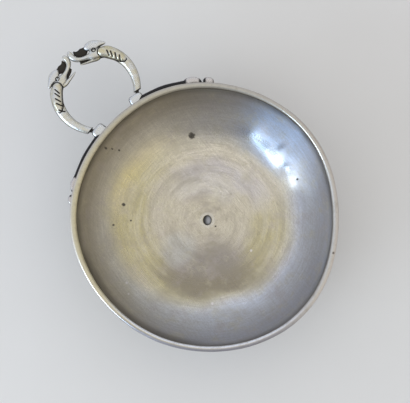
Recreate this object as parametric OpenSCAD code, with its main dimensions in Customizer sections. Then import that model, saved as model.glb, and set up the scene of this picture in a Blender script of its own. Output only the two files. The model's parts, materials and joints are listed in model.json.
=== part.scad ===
// Tastevin: a shallow wine taster of sheet silver with a loop handle of two cast serpents.
// Frame: millimetres, +Z up, origin on the bowl's axis at its flat base, handle along +X.
// Left is +Y, seen from the bowl towards the handle.

/* [Bowl] */
// Diameter over the rim wire
rim_d = 84; // [72:0.5:96]
// Height from the table to the top of the rim wire
bowl_h = 26; // [22:0.5:30]
// Height of the straight wall under the lip
lip_h = 2; // [1:0.1:4]
// Thickness of the sheet
wall_t = 0.9; // [0.7:0.05:1.3]

/* [Rim wire] */
// Width of the rim wire, seen from above
rim_w = 2.1; // [1.8:0.1:3]
// Height of the rim wire above the lip
rim_cap = 1.1; // [0.8:0.1:2]
// Depth of the rim wire's skirt below the lip
rim_skirt = 1.6; // [1:0.1:2.5]
// How far the rim wire stands inside the wall
rim_overhang = 0.15; // [0:0.05:0.4]
// Rounding of the rim wire's top edges
rim_round = 0.8; // [0.3:0.05:0.9]

/* [Centre rivet] */
// Diameter of the rivet's shank
rivet_d = 2.4; // [1.6:0.1:3]
// Diameter of the rivet's two countersunk heads
rivet_head_d = 3.2; // [3.1:0.1:5]
// Depth of each countersink
rivet_sink = 0.3; // [0.15:0.05:0.3]
// Depth of the shallow dish in the upper head
rivet_dish = 0.12; // [0.05:0.01:0.2]
// Height of the lower head's face above the table
rivet_recess = 0.1; // [0.05:0.01:0.14]
// Clearance all round the rivet
rivet_fit = 0.03; // [0.01:0.01:0.08]

/* [Handle] */
// Clear diameter of the finger loop
finger_d = 23; // [19.5:0.1:26]
// Thickness of a serpent at its tail
tail_d = 1.9; // [1.7:0.1:2.6]
// Thickness of a serpent at its neck
neck_d = 3.8; // [3.2:0.1:4.2]
// Distance between the two tails where they reach the bosses
tail_spread = 19.6; // [16.5:0.1:20]
// Reach of the tails' ends beyond the rim
tail_reach = 3.8; // [3.6:0.1:4.4]
// Reach of each head from the middle plane back to the leaf on its neck
head_l = 7.9; // [7.2:0.1:8.6]
// Length of the raised leaf along the neck
hood_l = 9.8; // [8:0.1:11]
// Width of the raised leaf
hood_w = 3.5; // [2.8:0.1:3.8]
// Height of the raised leaf on each face of the neck
hood_relief = 0.35; // [0.1:0.05:0.8]

/* [Handle bosses] */
// Diameter of a boss
boss_d = 4.8; // [4:0.1:6]
// Reach of a boss beyond the rim
boss_reach = 3; // [2.4:0.1:3.2]
// Bevel round the boss's face
boss_bevel = 0.5; // [0.2:0.1:0.8]
// Clearance between a boss and the rim wire above it
boss_gap = 0.5; // [0.2:0.05:1]
// Diameter of the tenon on a serpent's tail
tenon_d = 1.2; // [0.8:0.1:1.6]
// Length of the tenon inside the boss
tenon_l = 3; // [2.4:0.1:3.4]
// Clearance all round the tenon
tenon_fit = 0.05; // [0.02:0.01:0.1]
// Gap between a tail's end and its boss
tail_gap = 0.8; // [0.2:0.05:0.9]

/* [Tail scrolls] */
// Thickness of the scroll's stem
stem_d = 2.6; // [1.8:0.1:3]
// Thickness of the leaf that ends the stem
leaf_d = 3.1; // [2.6:0.1:3.6]
// Thickness of the bud beyond the leaf
bud_d = 3; // [2.4:0.1:3.4]
// Angle from the handle at which the leaf starts
leaf_angle = 33; // [26:0.5:45]

/* [Hidden] */

// Solder film between pieces that lie against each other
solder_gap = 0.05;
// Overrun of cutting shapes
cut = 1;
// Sides of the lofted forms, and steps between two of their stations
loft_sides = 12;
loft_steps = 4;
$fn = 96;

// Bowl section
rim_r = rim_d / 2;
rim_in_r = rim_r - rim_w;
lip_in_r = rim_in_r + rim_overhang;
lip_out_r = lip_in_r + wall_t;
lip_top = bowl_h - rim_cap;
knuckle_z = lip_top - lip_h;
knuckle_out_r = knuckle_z;
floor_r = lip_out_r - knuckle_out_r;
rim_bottom = lip_top - rim_skirt;
rim_edge = min(rim_round, rim_cap, rim_w / 2);

// Finger loop, on polar angles about its centre that run from the snouts to the tails
finger_r = finger_d / 2;
tail_r = finger_r + tail_d / 2;
tail_y = tail_spread / 2;
tail_angle = 180 - asin(tail_y / tail_r);
tail_end_r = rim_r + tail_reach;
loop_x = sqrt(tail_end_r ^ 2 - tail_y ^ 2) - tail_r * cos(tail_angle);
tail_end = [loop_x + tail_r * cos(tail_angle), tail_y];
tail_way = [-sin(tail_angle), cos(tail_angle)];

// Handle boss, its middle line crossed by the tenon's axis boss_lead radii beyond the tail's end
boss_r = boss_d / 2;
boss_lead = 1.5;
boss_xy = tail_end + boss_lead * boss_r * tail_way;
boss_angle = atan2(boss_xy.y, boss_xy.x);
handle_z = rim_bottom - boss_gap - boss_r;
tenon_root = 1.5;
tenon_end_gap = 0.15;

// Front of the raised leaf on the neck's middle line, from which the head, neck and leaf are placed
neck_r = finger_r + neck_d / 2;
hood_from = asin(head_l / neck_r);
head_x = loop_x + neck_r * cos(hood_from);

// Neck: the round body stops thickening neck_l behind the leaf's front
neck_l = 2.9;
neck_angle = hood_from + neck_l / neck_r * 180 / PI;
arc_steps = 8;

// Raised leaf of the neck, as [share of its length, share of its half width], with rounded flanks
hood_span = hood_l / neck_r * 180 / PI;
hood_plan = [[0, 0.3], [0.03, 0.6], [0.12, 0.95], [0.3, 1], [0.62, 1], [0.86, 0.75], [1, 0.3]];
hood_flank = 0.25;
// How far the leaf's front lies inside the neck's middle line
hood_in = 0.5;

// Head forms as [x beyond the leaf's front, y, half width, half height] in hundredths of head_l
head_stations = [
    [-9.5, 96, 20, 22], [-1.5, 74, 20, 20.5], [5.5, 57, 11.5, 16], [13, 39, 8.3, 12.7], [22.5, 23, 9.1, 12.7],
    [35, 13, 10.3, 12.7], [49.5, 10.3, 10.8, 11.5], [61.5, 12, 9, 9], [70, 13.5, 3.8, 4]
];
jaw_stations = [
    [-19, 92, 12.5, 12], [-23, 77, 9.5, 10.5], [-18, 56, 7.2, 9], [-13.5, 38, 5.5, 7],
    [-9, 23, 3.9, 4.5], [-6, 15.5, 1.9, 2.5]
];
crest_stations = [
    [39, 65, 4, 5], [37, 72, 12, 11], [31.5, 88, 19, 15], [24, 105, 19, 14.5], [16.5, 122, 11.5, 11],
    [8, 136.5, 5.5, 6.5], [6, 140.5, 2, 3]
];

// Tail scroll, in degrees past the leaf's start
leaf_span = 4.5;
waist_at = 6;
waist_d = 1.4;
bud_at = 9;
tip_at = 10.8;
leaf_lift = 0.2;

// Radius of the bowl's outside at height z
function wall_r(z) =
    z >= knuckle_z ? lip_out_r : floor_r + sqrt(knuckle_out_r ^ 2 - (knuckle_z - z) ^ 2);

// Point on a smooth curve through p1 and p2
function curve_point(p0, p1, p2, p3, t) =
    (2 * p1 + (p2 - p0) * t + (2 * p0 - 5 * p1 + 4 * p2 - p3) * t ^ 2
        + (3 * p1 - p0 - 3 * p2 + p3) * t ^ 3) / 2;

// Stations filled in along a smooth curve
function smooth(s) = let (last = len(s) - 1) [
    for (i = [0:last - 1], j = [0:loft_steps - 1])
        curve_point(s[max(i - 1, 0)], s[i], s[i + 1], s[min(i + 2, last)], j / loft_steps),
    s[last]
];

// Ring of points round a station [x, y, z, half width, half height] with heading h in plan
function ring(s, h) = [
    for (i = [0:loft_sides - 1]) let (a = 360 * i / loft_sides)
        [s[0] - sin(h) * s[3] * cos(a), s[1] + cos(h) * s[3] * cos(a), s[2] + s[4] * sin(a)]
];

// Closed body through the stations, each square to the way in plan
module loft(stations) {
    s = smooth(stations);
    last = len(s) - 1;
    n = loft_sides;
    points = [
        for (i = [0:last]) let (way = s[min(i + 1, last)] - s[max(i - 1, 0)])
            each ring(s[i], atan2(way.y, way.x))
    ];
    sides = [
        for (i = [0:last - 1], j = [0:n - 1]) let (k = (j + 1) % n)
            each [[i * n + j, (i + 1) * n + k, i * n + k], [i * n + j, (i + 1) * n + j, (i + 1) * n + k]]
    ];
    ends = [[for (j = [0:n - 1]) j], [for (j = [n - 1:-1:0]) last * n + j]];
    polyhedron(points, concat(ends, sides));
}

// Half section of the bowl, filled to the axis, its surface moved inwards by inset
module bowl_outline(inset) {
    translate([0, inset]) square([floor_r, lip_top - inset]);
    intersection() {
        translate([floor_r, knuckle_z]) circle(knuckle_out_r - inset);
        translate([floor_r, -cut]) square([knuckle_out_r + cut, knuckle_z + cut]);
    }
    translate([floor_r, knuckle_z]) square([knuckle_out_r - inset, lip_top - knuckle_z]);
}

// Shank and two countersunk heads of the rivet, grown by grow
module rivet_form(grow) {
    cylinder(d = rivet_d + 2 * grow, h = wall_t);
    translate([0, 0, wall_t - rivet_sink])
        cylinder(d1 = rivet_d + 2 * grow, d2 = rivet_head_d + 2 * grow, h = rivet_sink);
    cylinder(d1 = rivet_head_d + 2 * grow, d2 = rivet_d + 2 * grow, h = rivet_sink);
}

module bowl() {
    color("silver") difference() {
        rotate_extrude() difference() {
            bowl_outline(0);
            bowl_outline(wall_t);
            translate([0, lip_top]) square([lip_in_r, cut]);
        }
        rivet_form(rivet_fit);
    }
}

module rim_wire() {
    color("gainsboro") rotate_extrude() difference() {
        union() {
            translate([rim_in_r, rim_bottom]) square([rim_w, bowl_h - rim_edge - rim_bottom]);
            translate([rim_in_r + rim_edge, rim_bottom])
                square([rim_w - 2 * rim_edge, bowl_h - rim_bottom]);
            for (r = [rim_in_r + rim_edge, rim_r - rim_edge])
                translate([r, bowl_h - rim_edge]) circle(rim_edge);
        }
        translate([0, rim_bottom - cut]) square([lip_out_r + solder_gap, rim_skirt + cut]);
    }
}

module centre_rivet() {
    dish_r = ((rivet_d / 2) ^ 2 + rivet_dish ^ 2) / (2 * rivet_dish);
    color("dimgray") difference() {
        rivet_form(0);
        translate([0, 0, -cut]) cylinder(d = rivet_head_d + cut, h = rivet_recess + cut);
        translate([0, 0, wall_t - rivet_dish + dish_r]) sphere(dish_r);
    }
}

// Round boss from inside the wall to its flat face with a bevelled edge, grown by grow
module boss_form(grow) {
    r = boss_r + grow;
    back = lip_in_r - boss_r;
    face = rim_r + boss_reach + grow;
    translate([0, 0, handle_z]) rotate([0, 90, boss_angle]) {
        translate([0, 0, back]) cylinder(r = r, h = face - boss_bevel - back);
        translate([0, 0, face - boss_bevel]) cylinder(r1 = r, r2 = r - boss_bevel, h = boss_bevel);
    }
}

// Cylinder on the tenon's axis, from back behind the tail's end to depth inside the boss
module tenon_form(d, back, depth) {
    translate([tail_end.x, tail_end.y, handle_z])
        rotate([0, 90, atan2(tail_way.y, tail_way.x)])
        translate([0, 0, -back]) cylinder(d = d, h = back + depth);
}

module boss() {
    color("gainsboro") difference() {
        boss_form(0);
        rotate_extrude() bowl_outline(-solder_gap);
        tenon_form(tenon_d + 2 * tenon_fit, tail_r, tenon_l + tenon_end_gap);
    }
}

// Station of the round body at polar angle a, with its inner edge on the finger loop
function body_station(a, half) =
    [loop_x + (finger_r + half) * cos(a), (finger_r + half) * sin(a), handle_z, half, half];

// Head stations at their size and place
function at_head(stations) = [
    for (s = stations * head_l / 100) [head_x + s[0], s[1], handle_z, s[2], s[3]]
];

// Half thickness of the body, from the tail at 0 to the neck at 1
function body_half(t) = (tail_d + (neck_d - tail_d) * t ^ 2 * (3 - 2 * t)) / 2;

module serpent() {
    start_angle = tail_angle + boss_r / tail_r * 180 / PI;
    body = [
        for (i = [0:arc_steps])
            let (t = i / arc_steps, half = body_half(t))
            body_station(start_angle + (neck_angle - start_angle) * t, half)
    ];
    hood_h = neck_d / 2 + hood_relief;
    hood = [
        for (p = hood_plan)
            let (s = body_station(hood_from + hood_span * p[0], neck_d / 2 - hood_in * (1 - p[0])))
            [s.x, s.y, s.z, hood_w / 2 * p[1], hood_h * (1 - hood_flank + hood_flank * p[1])]
    ];
    color("lightgray") {
        difference() {
            union() {
                loft(concat(body, at_head(head_stations)));
                loft(at_head(jaw_stations));
                loft(at_head(crest_stations));
                loft(hood);
            }
            boss_form(tail_gap);
            translate([loop_x, -cut, handle_z - neck_d])
                cube([finger_d, cut + solder_gap / 2, 2 * neck_d]);
        }
        tenon_form(tenon_d, tenon_root, tenon_l);
    }
}

module tail_scroll() {
    top_z = rim_bottom - boss_gap;
    // [degrees from the handle, thickness, lift off the wall]
    steps = [
        [boss_angle, stem_d, 0], [(boss_angle + leaf_angle) / 2, stem_d, 0], [leaf_angle, stem_d, 0],
        [leaf_angle + leaf_span / 3, leaf_d, 0], [leaf_angle + leaf_span * 2 / 3, leaf_d, leaf_lift],
        [leaf_angle + waist_at, waist_d, 0], [leaf_angle + bud_at, bud_d, 0],
        [leaf_angle + tip_at, waist_d / 2, 0]
    ];
    color("darkgray") difference() {
        loft([
            for (s = steps)
                let (half = s[1] / 2, z = top_z - half, r = wall_r(top_z) + solder_gap + s[2] + half)
                [r * cos(s[0]), r * sin(s[0]), z, half, half]
        ]);
        boss_form(solder_gap);
    }
}

module left_boss() { boss(); }
module right_boss() { mirror([0, 1, 0]) boss(); }
module left_serpent() { serpent(); }
module right_serpent() { mirror([0, 1, 0]) serpent(); }
module left_tail_scroll() { tail_scroll(); }
module right_tail_scroll() { mirror([0, 1, 0]) tail_scroll(); }

bowl();
rim_wire();
centre_rivet();
left_boss();
right_boss();
left_serpent();
right_serpent();
left_tail_scroll();
right_tail_scroll();
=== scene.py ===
"""Looks of the tastevin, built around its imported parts. Lengths are millimetres until a mesh is made."""
import json
import math

import bmesh
import bpy
import numpy as np
from mathutils import Matrix, Vector, noise


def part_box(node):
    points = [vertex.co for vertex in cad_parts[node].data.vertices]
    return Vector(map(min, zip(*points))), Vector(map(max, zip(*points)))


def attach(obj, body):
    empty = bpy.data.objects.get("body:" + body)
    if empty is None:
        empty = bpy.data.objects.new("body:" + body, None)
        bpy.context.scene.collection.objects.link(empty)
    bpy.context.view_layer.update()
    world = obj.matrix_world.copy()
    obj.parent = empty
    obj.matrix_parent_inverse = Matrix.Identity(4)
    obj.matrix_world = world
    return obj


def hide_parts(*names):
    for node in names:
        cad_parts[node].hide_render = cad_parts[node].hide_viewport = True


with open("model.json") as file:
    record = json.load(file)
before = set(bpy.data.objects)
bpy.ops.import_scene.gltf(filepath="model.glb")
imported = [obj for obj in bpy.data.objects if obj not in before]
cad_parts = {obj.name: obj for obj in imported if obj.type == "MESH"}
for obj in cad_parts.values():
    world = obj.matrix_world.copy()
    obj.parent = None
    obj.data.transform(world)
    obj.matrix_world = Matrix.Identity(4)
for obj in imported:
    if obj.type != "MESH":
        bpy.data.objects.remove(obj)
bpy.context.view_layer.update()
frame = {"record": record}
scene = bpy.context.scene
MM = 0.001


def node_box(node):
    """Lowest and highest corner of a CAD node, in millimetres."""
    lo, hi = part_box(node)
    return lo / MM, hi / MM


# Sizes taken from the frame
rim_lo, rim_hi = node_box("rim_wire")
boss_lo, boss_hi = node_box("left_boss")
bowl_hi = node_box("bowl")[1]
mounts = {mount["name"]: mount for mount in frame["record"]["mounts"]}
RIM_R = rim_hi.y
RIM_TOP = rim_hi.z
RIM_BOTTOM = rim_lo.z
LIP_OUT_R = bowl_hi.y
LIP_TOP = bowl_hi.z
HANDLE_TOP = boss_hi.z
HANDLE_Z = (boss_lo.z + boss_hi.z) / 2
LOOP_X = mounts["finger_loop"]["pos_m"][0] / MM

# Bowl: sheet, straight lip and round knuckle, steps round it and points along the inside of its section
WALL_T = 0.9
LIP_H = 2
KNUCKLE_R = LIP_TOP - LIP_H
FLOOR_R = LIP_OUT_R - KNUCKLE_R
BOWL_STEPS = 360
FLOOR_POINTS = 40
KNUCKLE_POINTS = 90

# Hole and rivet in the middle of the floor
RIVET_HEAD_R = 1.6
RIVET_R = 1.2
RIVET_SINK = 0.3
RIVET_FIT = 0.03

# Stretch of the middle mark along the picture's up, fading out between two distances from the axis
OVAL = 1.17
OVAL_IN, OVAL_OUT = 2.2, 5

# Out of round of the bowl: waves round it, their height, and the bearing of a crest from the handle
WAVES = [(0, 0.12, 0), (1, 0.21, -120.7), (2, 0.31, -11.3), (3, 0.41, 52.8), (4, 0.14, -4.6),
         (5, 0.21, -25.3)]

# Dents of the wall, and bumps where the depth is negative: distance from the axis, bearing, radius, depth
DENTS = [(34, -86, 4, -0.42), (33, -76.5, 4, -0.45), (34.5, -88, 3, -0.12), (30, -93, 3, -0.12),
         (37, -94, 4, -0.15), (34, -88.3, 1.7, 0.28), (30.7, -98.6, 1.9, 0.34), (30, -110, 2.6, 0.12),
         (33, 40, 4, 0.08), (34, 100, 4, 0.1), (31, 150, 5, 0.08), (35, -150, 4, 0.1), (34, -20, 4, 0.08)]

# Planishing marks: depth, width, and the distance beyond the floor over which they grow
PLANISH = 0.09
PLANISH_W = 6
PLANISH_REACH = 6

# Corrosion pits: distance from the axis, bearing, radius; and their depth as a share of the radius
PITS = [(28.2, -30.4, 1.15), (28, 38.9, 0.62), (30.7, 52.6, 0.4), (25.2, 49.7, 0.3), (36.1, 11.1, 0.35),
        (39.1, 14.4, 0.4), (37.8, 12.8, 0.3), (3.4, -167.5, 0.3), (32.3, -106.8, 0.35)]
PIT_DEPTH = 0.2

# Small painted highlights, as glints off fresh nicks: distance from the axis, bearing, radius
PAINTED_GLINTS = [(33.2, 87.7, 0.6), (35, 93, 0.4), (27.5, 142.9, 0.7), (17.6, -165.5, 0.6)]

# Pale patch on the floor: distance from the axis, bearing, reach
PALE = (13.5, 93, 7.5)

# Painted sheen on the wall, a cool painted reflection of the window: distance from the axis, bearing, reach
PAINTED_SHEEN = (36, -80, 17)

# Dark spot on the rim: distance from the axis, bearing, radius
RIM_SPOT = (41.2, -146.6, 0.5)

# Bearing in the picture at which the rim is polished, on both sides
RIM_POLISH = 40

# Bearing of the handle in the picture, anticlockwise from the picture's right
HANDLE_BEARING = 130.7


def smoothstep(t):
    """Eased 0 to 1."""
    t = np.clip(t, 0, 1)
    return t * t * (3 - 2 * t)


def ripple(waves, bearing):
    """Sum of waves round the axis at a bearing."""
    return sum(height * np.cos(count * (bearing - math.radians(crest))) for count, height, crest in waves)


def out_of_round(bearing, z):
    """How far the hammered wall stands out at a bearing, less towards the floor."""
    return ripple(WAVES, bearing) * smoothstep(z / LIP_TOP)


def wall_r(z):
    """Radius of the bowl's outside at a height."""
    below = np.clip(KNUCKLE_R - z, 0, KNUCKLE_R)
    return FLOOR_R + np.sqrt(KNUCKLE_R ** 2 - below ** 2)


def polar(r, bearing):
    """Plan point at a distance and a bearing in degrees."""
    return np.array([r * math.cos(math.radians(bearing)), r * math.sin(math.radians(bearing))])


# Ways in plan of the picture's right, left and up
right_way = Vector((*polar(1, -HANDLE_BEARING), 0))
left_way = -right_way
up_way = Vector((*polar(1, 90 - HANDLE_BEARING), 0))


def polar_way(bearing):
    """Way in plan at a bearing in the picture."""
    return right_way * math.cos(math.radians(bearing)) + up_way * math.sin(math.radians(bearing))


def oval(points):
    """Points near the axis stretched along the picture's up."""
    away = np.hypot(points[:, 0], points[:, 1])
    near = 1 - smoothstep((away - OVAL_IN) / (OVAL_OUT - OVAL_IN))
    along = (points[:, 0] * up_way.x + points[:, 1] * up_way.y) * near * (OVAL - 1)
    return points + np.outer(along, up_way)


def mound(x, y, r, bearing, size):
    """Height at plan points of a round mound at a distance and a bearing, 1 at its middle."""
    centre = polar(r, bearing)
    return np.exp(-((x - centre[0]) ** 2 + (y - centre[1]) ** 2) / size ** 2)


# Mesh tools

# Angle between faces from which an edge is sharp, and a small number that keeps a division from failing
SHARP = 50
TINY = 1e-9


def arc(centre, radius, start, end, count):
    """Points of an arc in a section, angles in degrees."""
    angles = np.radians(np.linspace(start, end, count))
    return np.stack([centre[0] + radius * np.cos(angles), centre[1] + radius * np.sin(angles)], 1)


def line(start, end, count):
    """Points from start up to but without end."""
    return np.linspace(start, end, count, endpoint=False)


def revolve(section, steps):
    """Points (steps, points, 3) and faces of a closed section of (r, z) turned about the axis."""
    bearing = np.linspace(0, 2 * math.pi, steps, endpoint=False)[:, None]
    r, z = section[None, :, 0], section[None, :, 1]
    points = np.stack([r * np.cos(bearing), r * np.sin(bearing), z + 0 * bearing], 2)
    count = len(section)
    faces = []
    for i in range(steps):
        for j in range(count):
            a, b = i * count, (i + 1) % steps * count
            k = (j + 1) % count
            faces.append((a + j, b + j, b + k, a + k))
    return points, faces


def smooth_stations(stations, steps):
    """Stations filled in along a smooth curve through them."""
    s = np.asarray(stations, float)
    padded = np.vstack([s[:1], s, s[-1:]])
    rows = []
    for p0, p1, p2, p3 in zip(padded, padded[1:], padded[2:], padded[3:]):
        for t in np.linspace(0, 1, steps, endpoint=False):
            rows.append((2 * p1 + (p2 - p0) * t + (2 * p0 - 5 * p1 + 4 * p2 - p3) * t ** 2
                         + (3 * p1 - p0 - 3 * p2 + p3) * t ** 3) / 2)
    return np.array(rows + [s[-1]])


def unit_ways(points):
    """Way of a line of plan points at each of them, one long."""
    way = np.gradient(points, axis=0)
    return way / np.linalg.norm(way, axis=1)[:, None]


def loft(stations, sides=32, steps=10, squareness=2):
    """Closed body through stations of x, y, z, half width and half height, square to the way in plan."""
    s = smooth_stations(stations, steps)
    way = unit_ways(s[:, :2])
    around = np.linspace(0, 2 * math.pi, sides, endpoint=False)
    c, d = (np.sign(v) * np.abs(v) ** (2 / squareness) for v in (np.cos(around), np.sin(around)))
    points = np.empty((len(s), sides, 3))
    points[..., 0] = s[:, :1] - way[:, 1:] * s[:, 3:4] * c
    points[..., 1] = s[:, 1:2] + way[:, :1] * s[:, 3:4] * c
    points[..., 2] = s[:, 2:3] + s[:, 4:5] * d
    faces = [tuple(range(sides)), tuple(range(len(s) * sides - 1, (len(s) - 1) * sides - 1, -1))]
    for i in range(len(s) - 1):
        for j in range(sides):
            k = (j + 1) % sides
            a, b = i * sides, (i + 1) * sides
            faces.append((a + j, a + k, b + k, b + j))
    return points.reshape(-1, 3), faces


def mesh_of(name, bodies):
    """One mesh, in metres, of bodies given as (points, faces), normals outwards."""
    points, faces = [], []
    for body_points, body_faces in bodies:
        start = len(points)
        points.extend(np.asarray(body_points).reshape(-1, 3) * MM)
        faces.extend(tuple(start + i for i in face) for face in body_faces)
    mesh = bpy.data.meshes.new(name)
    mesh.from_pydata([tuple(p) for p in points], [], faces)
    bm = bmesh.new()
    bm.from_mesh(mesh)
    bmesh.ops.recalc_face_normals(bm, faces=bm.faces)
    bm.to_mesh(mesh)
    bm.free()
    return mesh


def new_object(name, bodies):
    """Object of bodies, smooth but for its sharp edges."""
    mesh = mesh_of(name, bodies)
    mesh.polygons.foreach_set("use_smooth", [True] * len(mesh.polygons))
    mesh.set_sharp_from_angle(angle=math.radians(SHARP))
    obj = bpy.data.objects.new(name, mesh)
    scene.collection.objects.link(obj)
    return obj


def dress(obj, node, material):
    """Stand a finished piece in for its CAD node."""
    obj.data.materials.clear()
    obj.data.materials.append(material)
    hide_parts(node)
    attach(obj, "root")


def cast(name, bodies, voxel, rounds):
    """Object of bodies melted into one skin, as in a casting."""
    obj = new_object(name, bodies)
    melt = obj.modifiers.new("melt", "REMESH")
    melt.mode = "VOXEL"
    melt.voxel_size = voxel * MM
    ease = obj.modifiers.new("ease", "SMOOTH")
    ease.factor = 0.5
    ease.iterations = rounds
    done = bpy.data.meshes.new_from_object(obj.evaluated_get(bpy.context.evaluated_depsgraph_get()))
    obj.modifiers.clear()
    rough = obj.data
    obj.data = done
    bpy.data.meshes.remove(rough)
    done.polygons.foreach_set("use_smooth", [True] * len(done.polygons))
    return obj


def read_points(mesh):
    """Points in millimetres and normals of a mesh."""
    points = np.empty(len(mesh.vertices) * 3)
    mesh.vertices.foreach_get("co", points)
    normals = np.empty(len(mesh.vertices) * 3)
    mesh.vertex_normals.foreach_get("vector", normals)
    return points.reshape(-1, 3) / MM, normals.reshape(-1, 3)


def write_points(mesh, points):
    """Put points in millimetres back into a mesh."""
    mesh.vertices.foreach_set("co", (points * MM).ravel())
    mesh.update()


def store(mesh, name, values):
    """Keep one number per vertex for the materials."""
    layer = mesh.attributes.new(name, "FLOAT", "POINT")
    layer.data.foreach_set("value", np.clip(values, 0, 1).astype(np.float32))


def hollows(mesh, rounds):
    """How far each vertex lies below its smoothed neighbourhood, in millimetres."""
    edges = np.empty(len(mesh.edges) * 2, int)
    mesh.edges.foreach_get("vertices", edges)
    a, b = edges.reshape(-1, 2).T
    points, normals = read_points(mesh)
    degree = np.bincount(edges, minlength=len(points))[:, None]
    eased = points.copy()
    for _ in range(rounds):
        total = np.zeros_like(eased)
        np.add.at(total, a, eased[b])
        np.add.at(total, b, eased[a])
        eased = (eased + total / degree) / 2
    return np.sum((eased - points) * normals, 1)


def edge_tarnish_and_shade(normals, start, reach):
    """Patina along the upper edges of a casting, with painted shade that darkens its outline, from a
    steepness on, about half rubbed off lower down.
    """
    edge = smoothstep((start - normals[:, 2]) / reach)
    lower = smoothstep((0.25 - normals[:, 2]) / 0.3)
    return 0.8 * edge * (1 - 0.55 * lower)


# Material tools

def seen(red, green, blue):
    """Linear colour of an sRGB colour written in 0 to 255."""
    channels = [c / 255 for c in (red, green, blue)]
    return [c / 12.92 if c <= 0.04045 else ((c + 0.055) / 1.055) ** 2.4 for c in channels] + [1]


class Nodes:
    """Builder of one node tree. Methods take and give sockets or plain values."""

    def __init__(self, tree):
        self.tree = tree

    def node(self, kind):
        return self.tree.nodes.new(kind)

    def put(self, socket, value):
        """Link a socket to an input, or set the input to a plain value."""
        if isinstance(value, bpy.types.NodeSocket):
            self.tree.links.new(value, socket)
        else:
            socket.default_value = value

    def math(self, operation, a, b=0.0):
        n = self.node("ShaderNodeMath")
        n.operation = operation
        self.put(n.inputs[0], a)
        self.put(n.inputs[1], b)
        return n.outputs[0]

    def plus(self, a, b):
        return self.math("ADD", a, b)

    def less(self, a, b):
        return self.math("SUBTRACT", a, b)

    def times(self, a, b):
        return self.math("MULTIPLY", a, b)

    def vector(self, operation, a, b=None, scale=None):
        n = self.node("ShaderNodeVectorMath")
        n.operation = operation
        self.put(n.inputs[0], a)
        if b is not None:
            self.put(n.inputs[1], b)
        if scale is not None:
            self.put(n.inputs["Scale"], scale)
        return n.outputs["Value"] if operation in ("LENGTH", "DISTANCE", "DOT_PRODUCT") else n.outputs[0]

    def dot(self, vector, way):
        """How far a vector goes along a fixed way."""
        return self.vector("DOT_PRODUCT", vector, tuple(way))

    def join(self, x, y, z):
        n = self.node("ShaderNodeCombineXYZ")
        for socket, value in zip(n.inputs, (x, y, z)):
            self.put(socket, value)
        return n.outputs[0]

    def split(self, vector):
        n = self.node("ShaderNodeSeparateXYZ")
        self.put(n.inputs[0], vector)
        return n.outputs[0], n.outputs[1], n.outputs[2]

    def span(self, value, low, high, to_low=0.0, to_high=1.0):
        """Eased step of a value between two others, given as two results."""
        n = self.node("ShaderNodeMapRange")
        n.interpolation_type = "SMOOTHSTEP"
        for socket, v in zip(n.inputs, (value, low, high, to_low, to_high)):
            self.put(socket, v)
        return n.outputs[0]

    def belt(self, value, start, full, fade, end):
        """1 inside a belt of a value, which comes in from start to full and goes out from fade to end."""
        return self.times(self.span(value, start, full), self.span(value, end, fade))

    def mix(self, share, a, b):
        n = self.node("ShaderNodeMix")
        n.data_type = "RGBA"
        self.put(n.inputs["Factor"], share)
        self.put(n.inputs[6], a)
        self.put(n.inputs[7], b)
        return n.outputs[2]

    def cloud(self, vector, scale, detail=3.0, roughness=0.5):
        n = self.node("ShaderNodeTexNoise")
        self.put(n.inputs["Vector"], vector)
        n.inputs["Scale"].default_value = scale
        n.inputs["Detail"].default_value = detail
        n.inputs["Roughness"].default_value = roughness
        return n.outputs["Fac"]

    def layer(self, name):
        """Number that a mesh keeps per vertex."""
        n = self.node("ShaderNodeAttribute")
        n.attribute_name = name
        return n.outputs["Fac"]

    def bump(self, height, depth):
        """Bump of a height of 0 to 1 that is that many millimetres deep."""
        n = self.node("ShaderNodeBump")
        n.inputs["Distance"].default_value = depth * MM
        self.put(n.inputs["Height"], height)
        return n.outputs[0]


class Surface(Nodes):
    """Node tree of one material, with its place in millimetres and the colour laid on so far."""

    def __init__(self, name):
        self.material = bpy.data.materials.new(name)
        self.material.use_nodes = True
        super().__init__(self.material.node_tree)
        self.bsdf = self.tree.nodes["Principled BSDF"]
        place = self.node("ShaderNodeTexCoord").outputs["Object"]
        self.place = self.vector("SCALE", place, scale=1 / MM)

    def start(self, share, a, b):
        """First colour, mixed from two."""
        self.colour = self.mix(share, a, b)

    def cover(self, share, colour):
        """Lay a colour over the colour so far, by a share."""
        self.colour = self.mix(share, self.colour, colour)

    def scratches(self, turn, length, width):
        """Fine straight scratches in plan at an angle, as a value about a half."""
        n = self.node("ShaderNodeMapping")
        n.inputs["Rotation"].default_value = (0, 0, math.radians(turn))
        n.inputs["Scale"].default_value = (1 / length, 1 / width, 1 / length)
        self.put(n.inputs["Vector"], self.place)
        return self.cloud(n.outputs[0], 1, 2, 0.6)

    def finish(self, roughness, normal, metallic):
        """The material, of the colour laid on and the rest of its look."""
        self.put(self.bsdf.inputs["Base Color"], self.colour)
        self.put(self.bsdf.inputs["Roughness"], roughness)
        self.put(self.bsdf.inputs["Normal"], normal)
        self.put(self.bsdf.inputs["Metallic"], metallic)
        return self.material


class RoundSurface(Surface):
    """Material of a piece round the axis, with its place in plan and its way out from the axis."""

    def __init__(self, name):
        super().__init__(name)
        x, y, self.z = self.split(self.place)
        self.flat = self.join(x, y, 0.0)
        self.out = self.vector("NORMALIZE", self.flat)

    def facing(self, way):
        """How far the way out from the axis goes along a way in plan."""
        return self.dot(self.out, way)

    def away(self, r, bearing):
        """Distance in plan from a point at a distance and a bearing."""
        x, y = polar(r, bearing)
        return self.vector("DISTANCE", self.flat, (x, y, 0.0))


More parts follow.
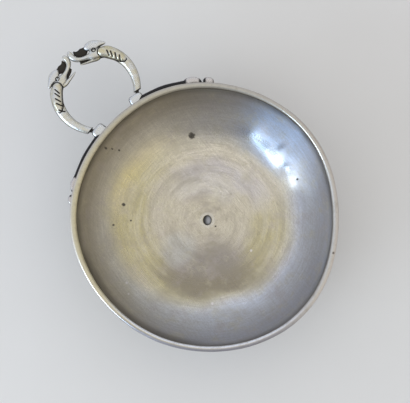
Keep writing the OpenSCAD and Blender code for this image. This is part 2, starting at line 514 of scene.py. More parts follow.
class BowlSilver(RoundSurface):
    """Worn sheet: brushed pale floor, yellow tarnish round it, grey wall, dark pits, with painted
    reflections, highlights and shade.
    """

    def __init__(self):
        super().__init__("bowl_silver")
        self.radius = self.vector("LENGTH", self.flat)
        self.drift = self.less(self.cloud(self.place, 0.06, 4), 0.5)
        self.uneven = self.plus(self.radius, self.times(self.drift, 10.0))
        self.inside = self.layer("inside")
        # Painted reflection tint of the wall: cool towards the picture's right, warm towards its left
        self.painted_cool_side = self.span(self.facing(right_way * 0.94 - up_way * 0.34), -0.7, 0.5)
        self.low = self.facing(-up_way)
        self.high = self.facing(up_way * 0.93 + right_way * 0.37)
        # Share of the painted sheen, a painted reflection of the window on the wall
        r, bearing, reach = PAINTED_SHEEN
        self.painted_sheen = self.times(self.inside, self.span(self.away(r, bearing), reach, 4.0, 0.0, 0.8))

    def arcs(self, breaks, lines, detail, roughness):
        """Broken arcs as a value about a half, with breaks round the axis and lines along the radius."""
        across = self.join(0.0, 0.0, self.times(self.radius, lines))
        around = self.vector("SCALE", self.out, scale=breaks)
        return self.cloud(self.vector("ADD", around, across), 1, detail, roughness)

    def lay_silver(self):
        """Warm floor, and a wall whose colour holds a painted reflection of the room: warm on the picture's
        left and cool on its right.
        """
        wall = self.mix(self.painted_cool_side, seen(232, 226, 212), seen(226, 232, 244))
        self.start(self.span(self.uneven, 22.0, 33.0), seen(228, 219, 198), wall)

    def lay_tarnish(self):
        """Mottled yellow ring round the floor, off its middle and fainter towards the picture's top."""
        middle = left_way * 2.8 + up_way * 2.6
        shifted = self.vector("LENGTH", self.vector("SUBTRACT", self.flat, tuple(middle)))
        shifted = self.plus(shifted, self.times(self.drift, 9.0))
        ring = self.belt(shifted, 14.5, 20.5, 25.5, 33.0)
        kept = self.span(self.high, 0.9, 0.1, 0.1, 0.85)
        mottled = self.span(self.cloud(self.place, 0.12, 5, 0.6), 0.25, 0.6, 0.5, 1.0)
        self.cover(self.times(self.times(ring, kept), mottled), seen(214, 203, 148))

    def lay_stain(self):
        """Dull stain on the floor towards the picture's bottom, and the floor a little darker towards the
        picture's bottom, in the stain's colours.
        """
        stained = self.mix(self.span(self.uneven, 16.0, 23.0), seen(161, 154, 150), seen(148, 139, 121))
        belt = self.belt(self.uneven, 3.0, 14.0, 23.5, 27.5)
        self.stain = self.times(belt, self.span(self.low, 0.45, 0.95, 0.0, 0.95))
        self.cover(self.stain, stained)
        lower = self.span(self.dot(self.flat, -up_way), -3.0, 9.0, 0.0, 0.2)
        self.cover(self.times(lower, self.span(self.uneven, 23.0, 16.0)), stained)

    def lay_rubbed(self):
        """Pale patch, and a belt of the floor that is rubbed bright towards the picture's top."""
        r, bearing, reach = PALE
        near = self.plus(self.away(r, bearing), self.times(self.drift, 6.0))
        self.cover(self.span(near, reach, 3.0, 0.0, 0.75), seen(212, 212, 208))
        belt = self.belt(self.uneven, 7.5, 11.0, 13.0, 20.0)
        self.cover(self.times(belt, self.span(self.low, -0.4, -0.95, 0.0, 0.7)), seen(246, 242, 238))

    def lay_wall(self):
        """Duller silver towards the lip, tinted by a painted reflection of the room, and the painted sheen,
        a painted reflection of the window.
        """
        # Painted reflection of the room on the lip: olive on the picture's left, blue-grey on its right
        lip = self.mix(self.painted_cool_side, seen(164, 154, 134), seen(182, 186, 202))
        self.cover(self.span(self.radius, 32.5, 39.8, 0.0, 0.75), lip)
        # Painted sheen: a painted reflection of the window
        self.cover(self.painted_sheen, seen(200, 222, 255))

    def lay_clean_highlight(self):
        """Lighter silver at the picture's top of the floor, warmer at its outer edge: partly cleaner
        silver, partly a painted highlight.
        """
        # Painted highlight on partly cleaner silver at the picture's top
        clean_highlight = self.mix(self.span(self.uneven, 18.0, 23.0), seen(230, 225, 228), seen(248, 239, 220))
        belt = self.belt(self.uneven, 13.0, 17.0, 24.0, 27.0)
        self.cover(self.times(belt, self.span(self.high, 0.4, 0.85, 0.0, 0.8)), clean_highlight)

    def lay_mottle(self):
        """Cloudy tints of rose, straw and grey, and small specks on the floor."""
        rose = self.cloud(self.place, 0.17, 4, 0.65)
        self.cover(self.span(rose, 0.5, 0.68, 0.0, 0.3), seen(204, 194, 196))
        straw = self.cloud(self.vector("ADD", self.place, (40.0, 0.0, 0.0)), 0.2, 4, 0.65)
        self.cover(self.span(straw, 0.5, 0.68, 0.0, 0.3), seen(226, 219, 188))
        self.grey = self.span(self.cloud(self.place, 0.1, 5, 0.65), 0.45, 0.72)
        self.cover(self.times(self.grey, 0.3), seen(182, 173, 150))
        specks = self.span(self.cloud(self.place, 0.6, 4, 0.7), 0.53, 0.7, 0.0, 0.3)
        self.cover(self.times(specks, self.span(self.uneven, 30.0, 24.0)), seen(158, 150, 118))

    def lay_arcs(self):
        """Broad broken arcs on the floor, light ones where it isn't stained and dull ones all over."""
        broad = self.arcs(1.5, 0.5, 2, 0.5)
        floor = self.span(self.uneven, 29.0, 25.0)
        unstained = self.times(floor, self.less(1.0, self.stain))
        self.cover(self.times(unstained, self.span(broad, 0.46, 0.66, 0.0, 0.3)), seen(240, 233, 214))
        self.cover(self.times(floor, self.span(broad, 0.52, 0.34, 0.0, 0.24)), seen(160, 153, 138))

    def lay_brushing(self):
        """Bright halo round the rivet, then fine broken rings and crossing scratches all over."""
        halo = self.belt(self.radius, 1.55, 1.8, 2.1, 2.9)
        self.cover(self.times(halo, 0.6), seen(240, 236, 226))
        rings = self.arcs(3.2, 2.4, 4, 0.65)
        scratch = self.plus(self.scratches(20, 9, 0.22), self.scratches(-48, 7, 0.18))
        scratch = self.plus(scratch, self.scratches(75, 11, 0.25))
        self.fine = self.plus(self.times(rings, 0.44), self.times(scratch, 0.187))
        self.cover(self.span(self.fine, 0.36, 0.64, 0.0, 0.3), seen(150, 142, 128))

    def lay_pits(self):
        """Ragged dark pits, and small painted highlights as glints off fresh nicks, on the inside."""
        frayed = self.less(self.cloud(self.place, 1.6, 3), 0.5)
        pitted = 0.0
        for r, bearing, size in PITS:
            ragged = self.plus(self.away(r, bearing), self.times(frayed, size))
            pitted = self.math("MAXIMUM", pitted, self.span(ragged, size * 1.15, size * 0.6))
        self.pitted = self.times(pitted, self.inside)
        self.cover(self.times(self.pitted, 0.95), seen(54, 48, 38))
        # Small painted highlights, as glints off fresh nicks
        for r, bearing, size in PAINTED_GLINTS:
            glint = self.span(self.away(r, bearing), size, size * 0.3, 0.0, 0.8)
            self.cover(self.times(self.inside, glint), seen(244, 238, 236))

    def lay_grain_and_shade(self):
        """Grain all over; then painted shade up the wall, more at the picture's lower left, and a painted
        shadow line under the wire.
        """
        grain = self.cloud(self.place, 2.2, 4, 0.75)
        self.cover(self.span(grain, 0.3, 0.7, 0.34, 0.0), seen(144, 138, 130))
        # Painted shade up the wall and at the picture's lower left, and a painted shadow line under the
        # wire
        self.cover(self.span(self.z, 16.5, 21.5, 0.0, 0.5), seen(96, 90, 80))
        shade = self.span(self.facing(left_way * 0.6 - up_way * 0.8), 0.7, 0.95, 0.0, 0.5)
        self.cover(self.times(shade, self.span(self.z, 14.0, 18.0)), seen(96, 90, 84))
        self.cover(self.span(self.z, 24.0, 24.6, 0.0, 0.55), seen(64, 58, 48))

    def made(self):
        """The material, with its layers in the order that they cover each other."""
        for lay in (self.lay_silver, self.lay_tarnish, self.lay_stain, self.lay_rubbed, self.lay_wall,
                    self.lay_clean_highlight, self.lay_mottle, self.lay_arcs, self.lay_brushing, self.lay_pits,
                    self.lay_grain_and_shade):
            lay()
        self.bsdf.inputs["Anisotropic"].default_value = 0.7
        self.put(self.bsdf.inputs["Tangent"], self.out)
        worn = self.plus(self.times(self.fine, 0.3), self.times(self.grey, 0.08))
        polish = self.times(self.painted_sheen, self.span(self.radius, 34.5, 31.5, 0.04, -0.14))
        polish = self.plus(self.span(self.radius, 29.0, 38.0, 0.12, 0.36), polish)
        rough = self.plus(self.plus(worn, polish), self.times(self.pitted, 0.3))
        metallic = self.less(0.95, self.times(self.pitted, 0.8))
        return self.finish(rough, self.bump(self.fine, 0.03), metallic)


def rim_silver():
    """Rubbed wire: yellowish on the left, duller at the top, with painted shadow under its inner edge and
    painted shade on its outer face; at the picture's bottom, a painted highlight on its inner edge and
    painted shade on its outer half.
    """
    s = RoundSurface("rim_silver")
    across = s.layer("across")
    s.start(s.span(s.facing(left_way), -0.6, 0.8), seen(206, 202, 196), seen(212, 204, 176))
    s.cover(s.span(across, 0.5, 0.9, 0.0, 0.7), seen(208, 201, 200))
    s.cover(s.span(s.facing(up_way), 0.1, 0.9, 0.0, 0.6), seen(186, 181, 170))
    # Painted highlight on the inner edge and painted shade on the outer half, at the picture's bottom
    below = s.span(s.facing(-up_way), 0.55, 0.9)
    s.cover(s.times(below, s.span(across, 0.45, 0.2)), seen(246, 248, 253))
    s.cover(s.times(below, s.span(across, 0.35, 0.6, 0.0, 0.75)), seen(150, 150, 162))
    stain = s.span(s.cloud(s.place, 0.35, 5, 0.65), 0.5, 0.72)
    s.cover(s.times(stain, 0.3), seen(150, 142, 126))
    s.cover(s.span(s.cloud(s.place, 2.6, 3, 0.7), 0.5, 0.75, 0.0, 0.35), seen(132, 126, 112))
    # Painted shadow under the inner edge and painted shade on the outer face
    rim_shade = s.layer("patina_and_shade")
    s.cover(rim_shade, seen(66, 60, 50))
    r, bearing, size = RIM_SPOT
    s.cover(s.span(s.away(r, bearing), size, size * 0.4, 0.0, 0.8), seen(70, 58, 48))
    fine = s.cloud(s.place, 3.2, 4, 0.7)
    polished = s.math("ABSOLUTE", s.facing(polar_way(RIM_POLISH)))
    rough = s.plus(s.times(fine, 0.2), s.span(polished, 0.92, 0.985, 0.42, 0.13))
    rough = s.plus(rough, s.times(rim_shade, 0.25))
    return s.finish(rough, s.bump(fine, 0.03), s.less(1.0, s.times(rim_shade, 0.5)))


def cast_metal(name, light, warm, dark):
    """Cast silver, bright where it is rubbed and dark where its patina is kept or shade is painted."""
    s = Surface(name)
    blotch = s.span(s.cloud(s.place, 0.5, 4, 0.6), 0.35, 0.65, -0.2, 0.3)
    s.start(s.span(s.plus(s.layer("tone"), blotch), 0.0, 1.0), light, warm)
    grain = s.cloud(s.place, 4.5, 4, 0.7)
    # Patina and painted shade that the mesh keeps, with grain
    kept = s.plus(s.layer("patina_and_shade"), s.times(s.less(grain, 0.5), 0.5))
    kept = s.span(kept, 0.12, 0.75)
    s.cover(kept, dark)
    rough = s.plus(s.plus(s.times(grain, 0.22), s.times(kept, 0.3)), 0.16)
    return s.finish(rough, s.bump(grain, 0.05), s.less(1.0, s.times(kept, 0.6)))


def floor_paint():
    """Plain pale floor with a faint mottle."""
    s = Surface("floor_paint")
    s.start(s.cloud(s.place, 0.02, 4, 0.6), seen(226, 225, 223), seen(232, 231, 230))
    return s.finish(0.9, s.bump(s.cloud(s.place, 0.6, 3), 0.02), 0.0)


# Bowl

def bowl_section():
    """Closed section of the sheet: inside from the hole to the lip, and back along the outside."""
    hole_r = RIVET_HEAD_R + RIVET_FIT
    neck_r = RIVET_R + RIVET_FIT
    inner_r = KNUCKLE_R - WALL_T
    lip_in_r = FLOOR_R + inner_r
    centre = (FLOOR_R, KNUCKLE_R)
    return np.vstack([
        line((hole_r, WALL_T), (FLOOR_R, WALL_T), FLOOR_POINTS),
        arc(centre, inner_r, -90, 0, KNUCKLE_POINTS),
        line((lip_in_r, KNUCKLE_R + LIP_H / 4), (lip_in_r, LIP_TOP), 4),
        [(lip_in_r, LIP_TOP)],
        line((LIP_OUT_R, LIP_TOP), (LIP_OUT_R, KNUCKLE_R), 4),
        arc(centre, KNUCKLE_R, 0, -90, 60),
        line((FLOOR_R * 0.95, 0), (hole_r, 0), 16),
        [(hole_r, 0), (neck_r, RIVET_SINK), (neck_r, WALL_T - RIVET_SINK)],
    ])


def hammered(points):
    """Points of the sheet moved for its round error, dents and planishing marks."""
    x, y, z = points.reshape(-1, 3).T
    bearing, r = np.arctan2(y, x), np.hypot(x, y)
    below = np.clip(KNUCKLE_R - z, 0, KNUCKLE_R)
    out = np.where(r > FLOOR_R, r - FLOOR_R, 0)
    away = np.hypot(out, below) + TINY
    push = np.zeros_like(r)
    for at, turn, size, depth in DENTS:
        push += depth * mound(x, y, at, turn, size)
    waver = [noise.noise((px / PLANISH_W, py / PLANISH_W, 0.5)) for px, py in zip(x, y)]
    push += PLANISH * np.array(waver) * smoothstep((r - FLOOR_R) / PLANISH_REACH)
    grow = 1 + (out_of_round(bearing, z) + push * out / away) / r
    return np.stack([x * grow, y * grow, z - push * below / away * (r > FLOOR_R)], 1)


def make_bowl():
    """Hammered sheet with its pits sunk into the inside."""
    points, faces = revolve(bowl_section(), BOWL_STEPS)
    moved = hammered(points)
    inside = np.tile(np.arange(points.shape[1]) < FLOOR_POINTS + KNUCKLE_POINTS, BOWL_STEPS)
    for r, bearing, size in PITS:
        moved[:, 2] -= inside * mound(moved[:, 0], moved[:, 1], r, bearing, size) * size * PIT_DEPTH
    obj = new_object("hammered_bowl", [(oval(moved), faces)])
    store(obj.data, "inside", inside)
    dress(obj, "bowl", BowlSilver().made())


# Rim wire

# Width of the wire, how it varies as waves round it, and the share from its inner edge that stays
RIM_W = 1.88
RIM_WAVES = [(1, 0.12, 49.3), (2, 0.15, 34.3)]
RIM_KEPT = 0.4

# Round of its lower edge, film of solder inside its skirt, and depth and width of its wobble
RIM_EDGE_R = 0.25
SOLDER = 0.05
WOBBLE = 0.05
WOBBLE_W = 5


def rim_section():
    """Closed section of the wire: half round on top, with a skirt outside the lip."""
    half = RIM_W / 2
    skirt = LIP_OUT_R + SOLDER
    edge = RIM_BOTTOM + RIM_EDGE_R
    return np.vstack([
        [(RIM_R - RIM_W, LIP_TOP)],
        arc((RIM_R - half, RIM_TOP - half), half, 180, 0, 36),
        line((RIM_R, RIM_TOP - half - 0.1), (RIM_R, edge), 5),
        arc((RIM_R - RIM_EDGE_R, edge), RIM_EDGE_R, 0, -90, 5),
        [(skirt, RIM_BOTTOM), (skirt, LIP_TOP)],
    ])


def make_rim():
    """Wire on the lip, out of round with the bowl, of uneven width, with painted shadow under its inner
    edge and painted shade on its outer face.
    """
    points, faces = revolve(rim_section(), BOWL_STEPS)
    flat = points.reshape(-1, 3)
    z = flat[:, 2]
    bearing, r = np.arctan2(flat[:, 1], flat[:, 0]), np.hypot(flat[:, 0], flat[:, 1])
    wobble = np.array([noise.noise((px / WOBBLE_W, py / WOBBLE_W, 3.7)) for px, py in flat[:, :2]])
    widened = smoothstep((r - RIM_R + RIM_W * (1 - RIM_KEPT)) / 0.6)
    grow = out_of_round(bearing, z) + WOBBLE * wobble + ripple(RIM_WAVES, bearing) * widened
    moved = flat * np.stack([1 + grow / r, 1 + grow / r, np.ones_like(r)], 1)
    obj = new_object("half_round_rim", [(moved, faces)])
    store(obj.data, "across", (r - RIM_R + RIM_W) / RIM_W)
    # Painted shadow under the inner edge, and painted shade on the outer face
    outer = r > RIM_R - 0.3
    under = smoothstep((LIP_TOP + 0.2 - z) / 0.2) * (r < RIM_R - 0.3)
    outside = smoothstep((RIM_TOP - 0.6 - z) / 0.4) * outer * 0.6
    store(obj.data, "patina_and_shade", np.maximum(under * 0.9, outside))
    dress(obj, "rim_wire", rim_silver())


# Centre rivet

# Lift of the lower head above the table, drop of the upper one below the floor, its dish and the dish's
# radius, and the small radius of the points at the axis
RIVET_LIFT = 0.1
RIVET_DROP = 0.12
RIVET_DISH = 0.12
RIVET_DISH_R = 6
AXIS_R = 0.001


def make_rivet():
    """Sunk grey head in its countersink, with a shank and a lower head."""
    low, top = RIVET_LIFT, WALL_T - RIVET_DROP
    dish = top - RIVET_DISH
    section = np.vstack([
        [(AXIS_R, dish)],
        arc((0, dish + RIVET_DISH_R), RIVET_DISH_R, -88, -80, 6),
        [(RIVET_HEAD_R * 0.82, top - 0.02), (RIVET_HEAD_R * 0.93, top - 0.03)],
        [(RIVET_HEAD_R * 0.96, top - 0.1), (RIVET_R, WALL_T - RIVET_SINK), (RIVET_R, RIVET_SINK)],
        [(RIVET_HEAD_R * 0.85, low + 0.03), (RIVET_HEAD_R * 0.8, low), (AXIS_R, low)],
    ])
    points, faces = revolve(section, 64)
    flat = points.reshape(-1, 3)
    obj = new_object("sunk_rivet", [(oval(flat), faces)])
    # Painted shading of the sunk head: lighter at a spot right of its middle, darker away from it and in a
    # painted shadow ring round its edge
    right = flat[:, 0] * right_way.x + flat[:, 1] * right_way.y
    up = flat[:, 0] * up_way.x + flat[:, 1] * up_way.y
    away = np.hypot(right - 0.45, up * 0.7 + 0.05)
    edge = smoothstep((np.hypot(right, up) - 1.1) / 0.35)
    store(obj.data, "patina_and_shade", 0.2 + 0.45 * smoothstep((away - 0.15) / 1.3) + 0.3 * edge)
    dress(obj, "centre_rivet", cast_metal(
        "rivet_metal", seen(166, 167, 171), seen(150, 150, 154), seen(50, 48, 42)))


# Serpent handle

# Finger loop and the body round it: its neck, and its tail, which lies a little inside the loop's edge
FINGER_R = 11.5
NECK_R = 1.9
NECK_L = 2.9
NECK_MID_R = FINGER_R + NECK_R
TAIL_R = 1.1
TAIL_IN = 0.25

# End of the tail on the loop, the spare turn that is cut off it, its gap to the pad, and its tenon
TAIL_ANGLE = 128.1
TAIL_SPARE = 12
TAIL_GAP = 0.8
TENON_R = 0.6
TENON_OUT, TENON_IN = 1.5, 1.2

# Leaf on the neck: its size, and its stations as share of its length and share of its width
HOOD_L = 9.8
HOOD_W = 3.5
HOOD_RELIEF = 0.35
HOOD_IN = 0.5
HOOD = [(0, 0.3), (0.03, 0.6), (0.12, 0.95), (0.3, 1), (0.62, 1), (0.86, 0.75), (1, 0.3)]

# Head forms as x beyond the leaf's front, y, half width, half height in hundredths of the head's reach
HEAD = [(-9.5, 96, 20, 22), (-1.5, 74, 20, 20.5), (5.5, 57, 11.5, 16), (13, 39, 8.3, 12.7),
        (22.5, 23, 9.1, 12.7), (35, 13, 10.3, 12.7), (49.5, 10.3, 10.8, 11.5), (61.5, 12, 9, 9),
        (70, 13.5, 3.8, 4)]
JAW = [(-19, 92, 12.5, 12), (-23, 77, 9.5, 10.5), (-18, 56, 7.2, 9), (-13.5, 38, 5.5, 7),
       (-9, 23, 3.9, 4.5), (-6, 15.5, 1.9, 2.5)]
CREST = [(39, 65, 4, 5), (37, 72, 12, 11), (31.5, 88, 19, 15), (24, 105, 19, 14.5), (16.5, 122, 11.5, 11),
         (8, 136.5, 5.5, 6.5), (6, 140.5, 2, 3)]

# Low dark webs of the mouth and in front of the crest, and how far they lie below the middle
THROAT = [(-8, 64, 8, 5), (-2, 48, 8, 5), (4, 32, 7, 4), (9, 20, 3, 3)]
BROW = [(40, 74, 6, 4), (35, 62, 15, 4), (34, 50, 18, 4), (39, 38, 14, 4), (48, 30, 8, 3.5),
        (58, 28, 3, 2.5)]
WEB_DROP = 0.4

# Eye, placed as the head forms are
EYE = (10.5, 89)
EYE_R = 0.6

# Engraved strokes on the leaves
STROKE_IN, STROKE_OUT = 12.2, 13.5
STROKE_SLANT = 5
STROKE_W = 0.26
STROKE_DEPTH = 0.22

# Width and depth of the groove round the leaf and of the ring round the eye, and lift of the eye
GROOVE_W = 0.2
RING_W = 0.16
GROOVE_DEPTH = 0.2
EYE_LIFT = 0.22

# Half of the gap between the snouts, and the finest detail that the casting keeps
SNOUT_GAP = 0.03
CAST_DETAIL = 0.11


def on_loop(angle, radius):
    """Plan point at an angle and a radius about the finger loop's centre."""
    return np.array([LOOP_X, 0]) + polar(radius, angle)


def degrees_along(length):
    """Angle of a length along the neck's middle line."""
    return math.degrees(length / NECK_MID_R)


class Serpent:
    """Places on one cast serpent; both are worked out on the left and the right one is mirrored."""

    def __init__(self, name, head_l, jaw_close, jaw_wide, leaf_warm, strokes):
        self.name = name
        self.head_l = head_l
        self.leaf_warm = leaf_warm
        self.strokes = strokes
        self.hood_from = math.degrees(math.asin(head_l / NECK_MID_R))
        self.head_x = LOOP_X + NECK_MID_R * math.cos(math.radians(self.hood_from))
        hinge = JAW[0][1]
        self.jaw = [(x + jaw_close * (1 - y / hinge), y, wide * jaw_wide, high) for x, y, wide, high in JAW]

    def at_head(self, stations):
        """Head stations at their size and place."""
        s = np.asarray(stations) * self.head_l / 100
        middle = np.full(len(s), HANDLE_Z)
        return np.stack([self.head_x + s[:, 0], s[:, 1], middle, s[:, 2], s[:, 3]], 1)

    def hood_turn(self, points):
        """Angle of points about the loop, from the leaf's front."""
        return np.degrees(np.arctan2(points[:, 1], points[:, 0] - LOOP_X)) - self.hood_from

    def hood_line(self):
        """Plan points along the middle of the leaf on the neck."""
        turn = degrees_along(HOOD_L)
        return [on_loop(self.hood_from + turn * along, NECK_MID_R - HOOD_IN * (1 - along))
                for along, _ in HOOD]

    def hood_edge(self):
        """Plan outline of the leaf, with its round front."""
        rows = [(x, y, HOOD_W / 2 * wide) for (_, wide), (x, y) in zip(HOOD, self.hood_line())]
        s = smooth_stations(rows, 8)
        way = unit_ways(s[:, :2])
        across = np.stack([-way[:, 1], way[:, 0]], 1) * s[:, 2:3]
        return np.vstack([s[:, :2] + across, (s[:, :2] - across)[::-1], (s[:, :2] + across)[:1]])

    def tone(self, points):
        """How warm the metal is: cool on the crest, yellowish on the leaf, between on the rest."""
        u = (points[:, 0] - self.head_x) / self.head_l * 100
        v = points[:, 1] / self.head_l * 100
        x, y, wide, _ = np.array(CREST).T
        off = np.abs(u - np.interp(v, y, x)) - np.interp(v, y, wide)
        crest = smoothstep((4 - off) / 6) * (v > y[0] - 5) * (v < y[-1] + 12)
        turn = self.hood_turn(points)
        leaf = smoothstep(turn / 2 + 0.5) * smoothstep((degrees_along(HOOD_L) - turn) / 6)
        return np.clip(0.25 + self.leaf_warm * leaf - 0.6 * crest, 0, 1)


def tail_cut(body, boss_angle, reach):
    """Body with the tail's end cut off square to the boss's way out."""
    mesh = mesh_of("tail", [body])
    bm = bmesh.new()
    bm.from_mesh(mesh)
    way = Vector((*polar(1, boss_angle), 0))
    cut = bmesh.ops.bisect_plane(bm, geom=[*bm.verts, *bm.edges, *bm.faces], plane_co=way * reach * MM,
                                 plane_no=way, clear_inner=True)
    rim = [e for e in cut["geom_cut"] if isinstance(e, bmesh.types.BMEdge)]
    bmesh.ops.holes_fill(bm, edges=rim)
    points = np.array([v.co for v in bm.verts]) / MM
    bm.verts.index_update()
    faces = [tuple(v.index for v in f.verts) for f in bm.faces]
    bm.free()
    bpy.data.meshes.remove(mesh)
    return points, faces


def serpent_bodies(serpent):
    """Closed forms of a serpent that are melted together."""
    neck = serpent.hood_from + degrees_along(NECK_L)
    tail = TAIL_ANGLE + TAIL_SPARE
    body = []
    for t in np.linspace(0, 1, 10):
        half = TAIL_R + (NECK_R - TAIL_R) * smoothstep(t)
        middle = FINGER_R + half - TAIL_IN * (1 - smoothstep(t))
        body.append((*on_loop(tail + (neck - tail) * t, middle), HANDLE_Z, half, half))
    hood = []
    for (_, wide), (x, y) in zip(HOOD, serpent.hood_line()):
        high = (NECK_R + HOOD_RELIEF) * (0.75 + 0.25 * wide)
        hood.append((x, y, HANDLE_Z, HOOD_W / 2 * wide, high))
    whole = loft(np.vstack([body, serpent.at_head(HEAD)]))
    trimmed = tail_cut(whole, BOSS_ANGLE, PAD_REACH + TAIL_GAP)
    end = on_loop(TAIL_ANGLE, FINGER_R + TAIL_R - TAIL_IN)
    inward = polar(1, TAIL_ANGLE + 90)
    ends = (end - inward * TENON_OUT, end + inward * TENON_IN)
    tenon = loft([(*at, HANDLE_Z, TENON_R, TENON_R) for at in ends])
    webs = [loft(serpent.at_head(rows) - np.array([0, 0, WEB_DROP, 0, 0])) for rows in (THROAT, BROW)]
    forms = [loft(serpent.at_head(rows)) for rows in (serpent.jaw, CREST)]
    return [trimmed, loft(hood, squareness=2.4), tenon] + forms + webs


def off_segment(points, a, b):
    """Distance in plan of points from the segment between two."""
    along = np.clip(((points[:, :2] - a) @ (b - a)) / (np.sum((b - a) ** 2) + TINY), 0, 1)
    return np.linalg.norm(points[:, :2] - a - along[:, None] * (b - a), axis=1)


def engrave(points, normals, serpent):
    """Cut the strokes, the eye and its ring; gives the moved points and their patina."""
    face = smoothstep((np.abs(normals[:, 2]) - 0.15) / 0.4)
    marks = np.zeros(len(points))
    for angle in serpent.strokes:
        a = on_loop(angle + STROKE_SLANT / 2, STROKE_IN)
        b = on_loop(angle - STROKE_SLANT / 2, STROKE_OUT)
        marks = np.maximum(marks, np.exp(-(off_segment(points, a, b) / STROKE_W) ** 2) * face)
    edge = serpent.hood_edge()
    near = np.min([off_segment(points, a, b) for a, b in zip(edge, edge[1:])], axis=0)
    reach = np.linalg.norm(points[:, :2] - np.array([LOOP_X, 0]), axis=1) - NECK_MID_R
    bold = np.maximum(smoothstep((0.9 - reach) / 0.6), smoothstep((6 - serpent.hood_turn(points)) / 4))
    groove = np.exp(-(near / GROOVE_W) ** 2) * face * (0.15 + 0.85 * bold)
    eye = np.array([serpent.head_x, 0]) + np.array(EYE) * serpent.head_l / 100
    away = np.linalg.norm(points[:, :2] - eye, axis=1)
    ball = np.exp(-(away / (EYE_R * 0.6)) ** 2) * face
    ring = np.exp(-((away - EYE_R) / RING_W) ** 2) * face
    lift = EYE_LIFT * ball - GROOVE_DEPTH * (ring + groove) - STROKE_DEPTH * marks
    points[:, 2] += lift * np.sign(normals[:, 2])
    return points, np.maximum(np.maximum(marks, ring), groove)


def make_serpent(serpent):
    """Engraved casting, with patina in its hollows and marks, dark webs, patina and painted shade along its
    edges, and a painted shadow by the pad.
    """
    obj = cast(serpent.name + "_serpent_cast", serpent_bodies(serpent), CAST_DETAIL, 3)
    points, normals = read_points(obj.data)
    points[:, 1] = np.maximum(points[:, 1], SNOUT_GAP)
    points, marks = engrave(points, normals, serpent)
    write_points(obj.data, points)
    deep = hollows(obj.data, 24) / 0.1
    # Patina and painted shade along the edges, which darkens the outline
    steep = edge_tarnish_and_shade(normals, 0.62, 0.45)
    upward = smoothstep((normals[:, 2] - 0.2) / 0.3)
    sunk = smoothstep((HANDLE_Z + 0.25 - points[:, 2]) / 0.3) * upward * 0.9
    # Painted shadow on the tail's end and its tenon by the pad
    beyond = points[:, :2] @ polar(1, BOSS_ANGLE) - PAD_REACH - TAIL_GAP
    root = smoothstep((0.2 - beyond) / 0.15) * (points[:, 0] < LOOP_X)
    store(obj.data, "patina_and_shade", np.clip(deep, 0, 0.9) + marks + root + np.maximum(steep, sunk))
    store(obj.data, "tone", serpent.tone(points))
    if serpent.name == "right":
        obj.data.transform(Matrix.Scale(-1, 4, (0, 1, 0)))
        obj.data.flip_normals()
    dress(obj, serpent.name + "_serpent", CAST_SILVER)


# Bosses

# Bearing of the pads, their reach from the axis, and where the painted shadow at their foot by the wall
# ends
BOSS_ANGLE = 10.25
PAD_REACH = 45
PAD_FOOT = 41.9

# Pad as distance from the axis, half width and half height, and its gap to the wall
PAD = [(40.4, 2.4, 2.4), (42, 2.4, 2.4), (43.8, 2.38, 2.38), (44.5, 2.2, 2.2), (44.9, 1.8, 1.9),
       (PAD_REACH, 1.3, 1.4)]
PAD_GAP = 0.02


def make_boss(name, side):
    """Pad of the handle, with its back on the wall."""
    rows = [(*polar(r, BOSS_ANGLE), HANDLE_Z, w, h) for r, w, h in PAD]
    points, faces = loft(rows, 48, 8, 4)
    z = points[:, 2]
    seat = wall_r(z) + out_of_round(np.radians(BOSS_ANGLE * side), z)
    r, bearing = np.hypot(points[:, 0], points[:, 1]), np.arctan2(points[:, 1], points[:, 0])
    r = np.maximum(r, seat + PAD_GAP)
    seated = np.stack([r * np.cos(bearing), side * r * np.sin(bearing), z], 1)
    obj = new_object(name + "_boss_pad", [(seated, faces)])
    points, normals = read_points(obj.data)
    # Painted shadow at the pad's foot by the wall
    foot_shadow = smoothstep((PAD_FOOT - np.hypot(points[:, 0], points[:, 1])) / 0.8)
    store(obj.data, "patina_and_shade", foot_shadow * 0.8 + edge_tarnish_and_shade(normals, 0.8, 0.5))
    dress(obj, name + "_boss", CAST_SILVER)


# Tail scrolls

# Scroll as bearing, thickness, lift off the wall and how far it is rubbed bright
SCROLL = [(11, 2.6, 0, 0), (22, 2.6, 0, 0), (31.6, 2.5, 0, 0), (33.2, 3, 0.1, 1), (35.2, 3.1, 0.3, 1),
          (37.2, 2.4, 0.4, 1), (38.6, 1.6, 0, 0), (40, 1.6, 0, 0), (41.2, 2.9, 0.1, 1), (42.6, 2.7, 0.1, 1),
          (43.8, 0.8, 0, 0.6)]
SCROLL_GAP = 0.03

# How much thinner the bright ends are worn on each side
SCROLL_WEAR = {"left": 0.45, "right": 0}

# Vein of the bright ends: distance from the wall, width and depth
VEIN_AT = 1.4
VEIN_W = 0.2
VEIN_DEPTH = 0.15


def make_scroll(name, side):
    """Dark stem along the wall that ends in a bright leaf and a bud."""
    wall = wall_r(HANDLE_TOP)
    rows = []
    for bearing, full, lift, bright in SCROLL:
        thick = full - SCROLL_WEAR[name] * bright
        z = HANDLE_TOP - thick / 2
        r = wall + out_of_round(math.radians(bearing * side), z) + SCROLL_GAP + lift + thick / 2
        rows.append((*polar(r, bearing * side), z, thick / 2, thick / 2))
    obj = new_object(name + "_tail_leaf", [loft(rows, 36, 8, 3.4)])
    points, normals = read_points(obj.data)
    bearing = np.degrees(np.arctan2(points[:, 1], points[:, 0])) * side
    rubbed = np.interp(bearing, [row[0] for row in SCROLL], [row[3] for row in SCROLL])
    off = np.hypot(points[:, 0], points[:, 1]) - wall - VEIN_AT
    vein = np.exp(-((off / VEIN_W) ** 2)) * rubbed * (normals[:, 2] > 0)
    points[:, 2] -= VEIN_DEPTH * vein
    write_points(obj.data, points)
    store(obj.data, "patina_and_shade", 1 - rubbed + 0.3 * vein + edge_tarnish_and_shade(normals, 0.55, 0.4))
    dress(obj, name + "_tail_scroll", DARK_SILVER)


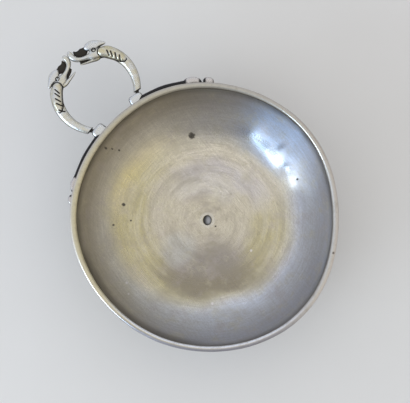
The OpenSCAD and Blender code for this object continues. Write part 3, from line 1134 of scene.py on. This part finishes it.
# Floor, light and camera

# Half width of the floor in metres
FLOOR_HALF = 1.5

# Picture: its width in pixels, and pixels to a millimetre at the height of the rim
PICTURE_W = 410
PICTURE_SCALE = 3.214

# Camera: the point that it is aimed at, and its own place, right and up in the picture from the axis,
# and its height above the rim
AIM = (-0.16, 4.73)
CAMERA_AT = (9.4, -18.2)
CAMERA_H = 400
SENSOR_W = 36


def picture_point(right, up, z):
    """Point in metres, from millimetres along the picture's right and up from the bowl's axis."""
    return (right_way * right + up_way * up + Vector((0, 0, z))) * MM


def make_floor():
    """Plain square that the cup stands on."""
    mesh = bpy.data.meshes.new("floor")
    corners = [(x * FLOOR_HALF, y * FLOOR_HALF, 0) for x, y in ((-1, -1), (1, -1), (1, 1), (-1, 1))]
    mesh.from_pydata(corners, [], [(0, 1, 2, 3)])
    floor = bpy.data.objects.new("floor", mesh)
    mesh.materials.append(floor_paint())
    scene.collection.objects.link(floor)


def lamp(name, bearing, rise, distance, size, radiance, colour):
    """Soft lamp aimed at the bowl, from a bearing in the picture, a rise above the floor and a distance."""
    data = bpy.data.lights.new(name, "AREA")
    data.shape = "RECTANGLE"
    data.size, data.size_y = size
    data.energy = radiance * math.pi * data.size * data.size_y
    data.color = colour
    obj = bpy.data.objects.new(name, data)
    scene.collection.objects.link(obj)
    way = polar_way(bearing) * math.cos(math.radians(rise))
    way.z = math.sin(math.radians(rise))
    side = Vector((0, 0, 1)).cross(way).normalized()
    turned = Matrix((side, way.cross(side), way)).transposed().to_4x4()
    obj.matrix_world = Matrix.Translation(way * distance) @ turned


def make_world():
    """Pale room, brighter overhead, cool on the picture's left and warm on its right, with two glows.

    One glow is at the picture's top and a warm one at its lower right. The picture's bottom is dim.
    """
    world = bpy.data.worlds.new("studio")
    scene.world = world
    world.use_nodes = True
    w = Nodes(world.node_tree)
    way = w.vector("NORMALIZE", w.node("ShaderNodeTexCoord").outputs["Generated"])
    rise = w.split(way)[2]
    edge = w.mix(w.span(w.dot(way, left_way), -0.8, 0.8), (0.62, 0.585, 0.52, 1), (0.67, 0.73, 0.9, 1))
    colour = w.mix(w.span(rise, 0.15, 0.95), edge, (0.85, 0.85, 0.85, 1))
    colour = w.mix(w.span(w.dot(way, up_way), 0.6, 0.9, 0.0, 0.7), colour, (0.88, 0.94, 1.05, 1))
    colour = w.mix(w.span(w.dot(way, polar_way(322)), 0.6, 0.9, 0.0, 0.9), colour, (1.12, 1.05, 0.88, 1))
    colour = w.mix(w.span(w.dot(way, polar_way(265)), 0.68, 0.83, 0.0, 0.85), colour, (0.2, 0.2, 0.22, 1))
    w.put(world.node_tree.nodes["Background"].inputs["Color"], colour)


def make_camera():
    """Camera almost straight above, a little to the picture's lower right."""
    aim = picture_point(*AIM, RIM_TOP)
    eye = picture_point(*CAMERA_AT, RIM_TOP + CAMERA_H)
    back = (eye - aim).normalized()
    right = up_way.cross(back).normalized()
    up = back.cross(right)
    data = bpy.data.cameras.new("camera")
    data.sensor_width = SENSOR_W
    data.lens = data.sensor_width * (eye - aim).length / (PICTURE_W / PICTURE_SCALE * MM)
    camera = bpy.data.objects.new("camera", data)
    scene.collection.objects.link(camera)
    camera.matrix_world = Matrix.Translation(eye) @ Matrix((right, up, back)).transposed().to_4x4()
    scene.camera = camera


# The pieces, each in place of its node, and then what stands round them
CAST_SILVER = cast_metal("cast_silver", seen(216, 217, 216), seen(208, 200, 170), seen(48, 43, 36))
DARK_SILVER = cast_metal("dark_silver", seen(206, 201, 198), seen(196, 189, 176), seen(36, 34, 36))
make_bowl()
make_rim()
make_rivet()
for side_name, side_sign in (("left", 1), ("right", -1)):
    make_boss(side_name, side_sign)
    make_scroll(side_name, side_sign)
make_serpent(Serpent("left", 7.9, -7, 1, 0.15, (48.8, 54, 61.3, 67.9, 77.4)))
make_serpent(Serpent("right", 8.6, 12, 0.75, 0.45, (55.3, 60.6, 67, 73.6)))
make_floor()
make_world()
lamp("window", 214.2, 14, 0.7, (0.49, 0.36), 3.4, (0.56, 0.78, 1.0))
lamp("window_core", 212, 20, 0.69, (0.36, 0.1), 4.6, (1.0, 1.0, 1.0))
make_camera()
scene.view_settings.view_transform = "Standard"
